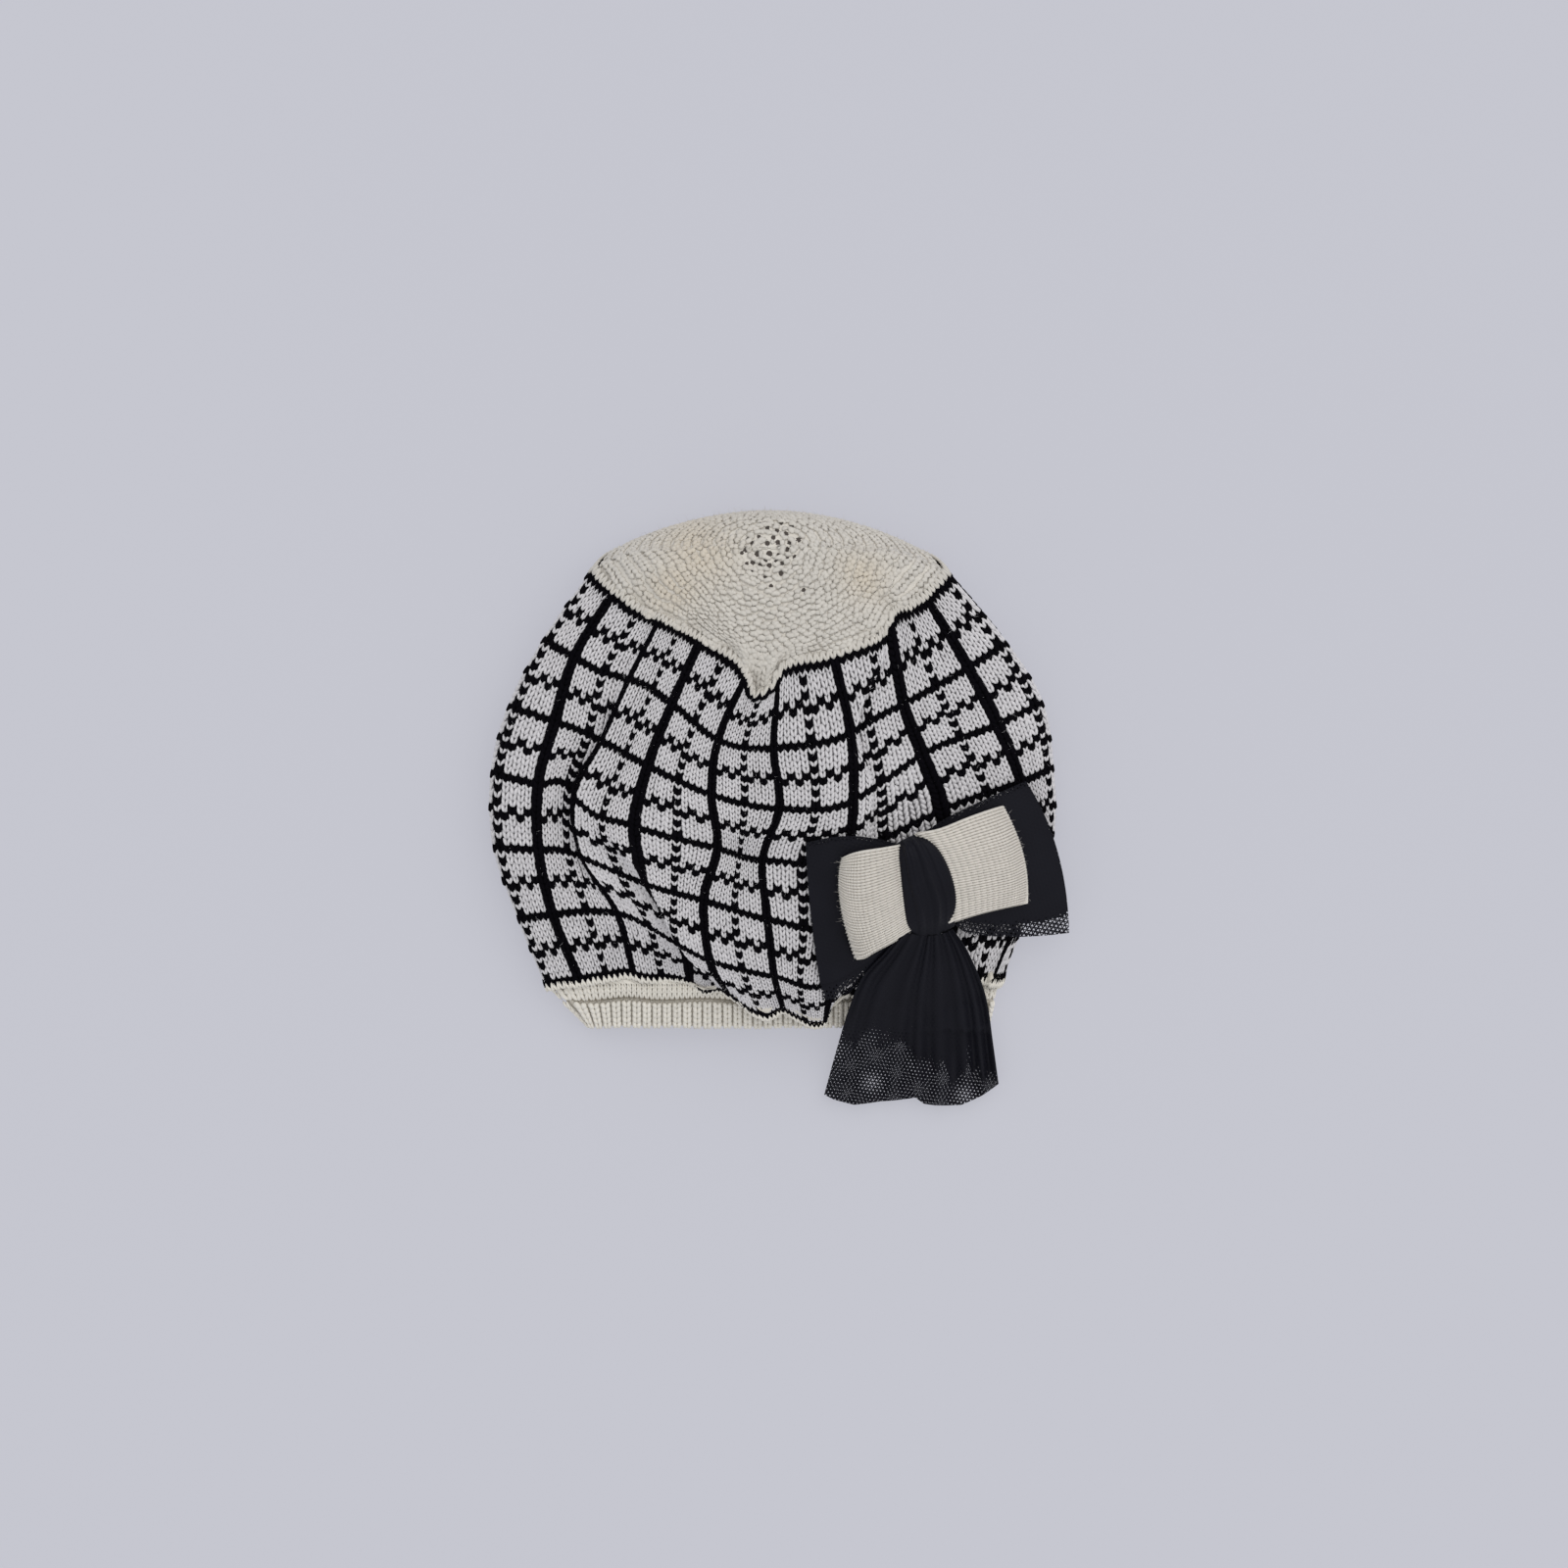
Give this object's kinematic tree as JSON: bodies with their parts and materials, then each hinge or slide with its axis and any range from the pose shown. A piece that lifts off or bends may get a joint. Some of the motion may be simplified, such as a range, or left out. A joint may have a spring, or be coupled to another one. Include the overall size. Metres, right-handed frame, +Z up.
{
  "type": "knit beret",
  "caption": "Knit beret lying on its back, with a ribbed band, a gathered checked body, a round purl crown and a net and knit bow with a net tail.",
  "frame": {"origin": "on the flat underside that the beret lies on, halfway between the hem's line and the crown's far edge, on the hat's middle line", "axes": "+Z up through the lying hat, +Y from the mouth towards the crown, +X towards the side that carries the bow"},
  "size_m": [0.2557, 0.2666, 0.0651],
  "materials": {
    "cream_knit": "matt cream knit yarn",
    "checked_knit": "matt knit yarn, off-white blocks between black lines",
    "black_net": "fine black net, pleated in layers"
  },
  "bodies": {
    "root": {"crown": "cream_knit", "checked_body": "checked_knit", "rib_band": "cream_knit", "net_bow": "black_net", "knit_bow": "cream_knit", "knot_wrap": "black_net", "net_tail": "black_net"}
  },
  "joints": []
}
